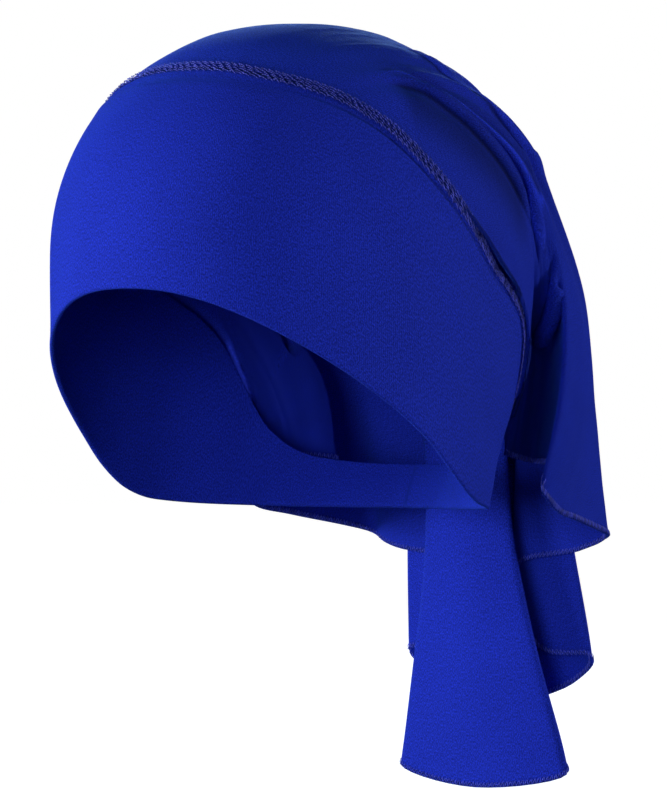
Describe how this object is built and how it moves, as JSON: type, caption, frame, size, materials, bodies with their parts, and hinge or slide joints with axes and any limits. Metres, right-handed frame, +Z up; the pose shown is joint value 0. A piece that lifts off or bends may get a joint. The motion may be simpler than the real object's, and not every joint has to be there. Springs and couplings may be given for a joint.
{
  "type": "hijab underscarf cap",
  "caption": "Stretch jersey underscarf cap: a deep doubled band arched round the face and a crown panel that falls behind the neck in cascading overlocked folds.",
  "frame": {"origin": "the inside of the crown's highest point, where the top of the wearer's head touches the cloth", "axes": "+Z up as worn, -Y towards the front of the face, +X towards the wearer's left"},
  "size_m": [0.1598, 0.2346, 0.2822],
  "materials": {
    "band_jersey": "matte fine single jersey, doubled",
    "crown_jersey": "matte fine single jersey"
  },
  "bodies": {
    "root": {"front_band": "band_jersey", "crown_panel": "crown_jersey"}
  },
  "joints": []
}
